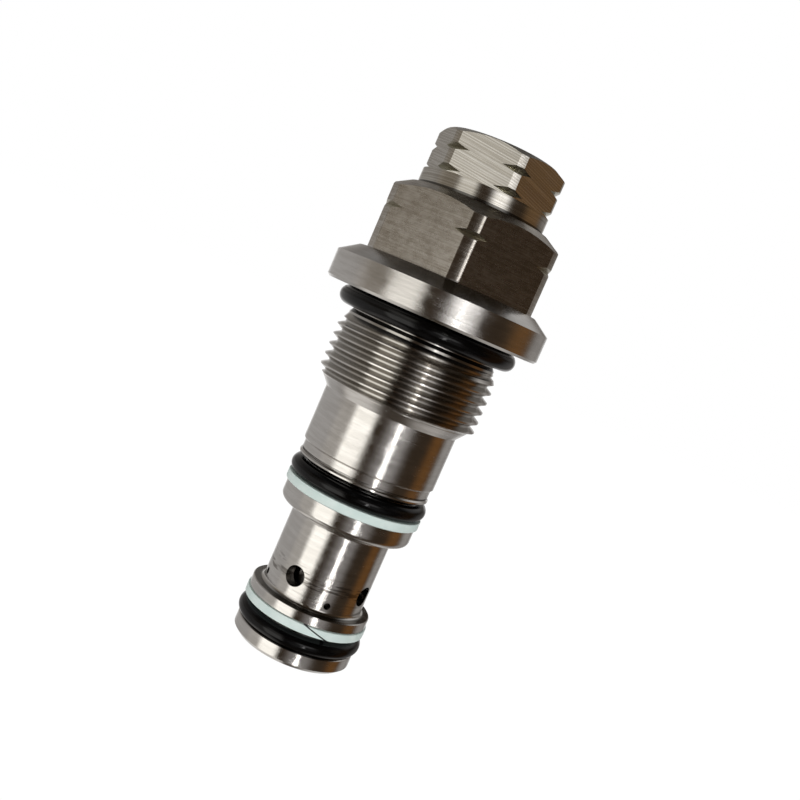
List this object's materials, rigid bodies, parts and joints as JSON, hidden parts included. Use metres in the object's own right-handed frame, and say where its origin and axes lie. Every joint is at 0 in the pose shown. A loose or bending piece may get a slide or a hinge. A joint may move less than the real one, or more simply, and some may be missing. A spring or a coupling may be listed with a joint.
{
  "type": "hydraulic cartridge valve",
  "caption": "Screw-in hydraulic relief cartridge valve: hex and lock nut on top, flanged threaded body, ported sleeve with O-rings and white back-up rings, open nose.",
  "frame": {"origin": "centre of the flange's underside, which seats on the manifold's face", "axes": "+Z along the valve's axis from the nose to the lock nut; the body hex has corners on +Y and -Y"},
  "size_m": [0.0318, 0.0318, 0.0765],
  "materials": {
    "body_steel": "turned and lightly polished, zinc-nickel plated",
    "sleeve_steel": "fine turned",
    "nut_steel": "milled flats, turned collar",
    "hardened_steel": "ground",
    "spring_steel": "shot-peened wire, oiled",
    "black_oxide_steel": "black oxide",
    "brass_mesh": "drilled disc",
    "nitrile": "smooth glossy nitrile rubber",
    "ptfe_white": "smooth white PTFE"
  },
  "bodies": {
    "housing": {"plug_body": "body_steel", "sleeve": "sleeve_steel", "pilot_seat": "hardened_steel", "pilot_seat_o_ring": "nitrile", "pilot_strainer": "brass_mesh", "flange_o_ring": "nitrile", "middle_o_ring": "nitrile", "middle_backup_ring": "ptfe_white", "nose_backup_ring": "ptfe_white", "nose_o_ring": "nitrile"},
    "nut_carrier": {"lock_nut_seal": "nitrile"},
    "nut": {"lock_nut": "nut_steel"},
    "spring_stack": {"upper_spring_seat": "hardened_steel", "spring_shims": "hardened_steel", "pilot_spring": "spring_steel"},
    "adjuster": {"adjusting_screw": "black_oxide_steel", "adjuster_o_ring": "nitrile", "adjuster_backup_ring": "ptfe_white"},
    "needle": {"pilot_poppet": "hardened_steel"},
    "main_valve": {"main_poppet": "hardened_steel", "orifice_screw": "hardened_steel", "main_spring": "spring_steel"}
  },
  "joints": [
    {"name": "nut_travel", "type": "slide", "parent": "housing", "child": "nut_carrier", "axis": [0, 0, 1], "range_m": [0, 0.00151]},
    {"name": "nut_turn", "type": "hinge", "parent": "nut_carrier", "child": "nut", "pos_m": [0, 0, 0.0205], "axis": [0, 0, 1], "range_deg": [0, 540]},
    {"name": "adjuster_travel", "type": "slide", "parent": "housing", "child": "spring_stack", "axis": [0, 0, 1], "range_m": [-0.00126, 0.00126], "deforming": ["pilot_spring"]},
    {"name": "adjuster_turn", "type": "hinge", "parent": "spring_stack", "child": "adjuster", "pos_m": [0, 0, 0.0125], "axis": [0, 0, 1], "range_deg": [-450, 450]},
    {"name": "needle_lift", "type": "slide", "parent": "housing", "child": "needle", "axis": [0, 0, 1], "range_m": [0, 0.0008], "stiffness_N_per_m": 20000, "springref_m": -0.005, "deforming": ["pilot_spring"]},
    {"name": "main_lift", "type": "slide", "parent": "housing", "child": "main_valve", "axis": [0, 0, 1], "range_m": [0, 0.005], "stiffness_N_per_m": 6000, "springref_m": -0.003, "deforming": ["main_spring"]}
  ],
  "couplings": [
    {"joint": "nut_travel", "follows": "nut_turn", "m_per_rad": 0.00015915},
    {"joint": "adjuster_travel", "follows": "adjuster_turn", "m_per_rad": 0.00015915}
  ]
}
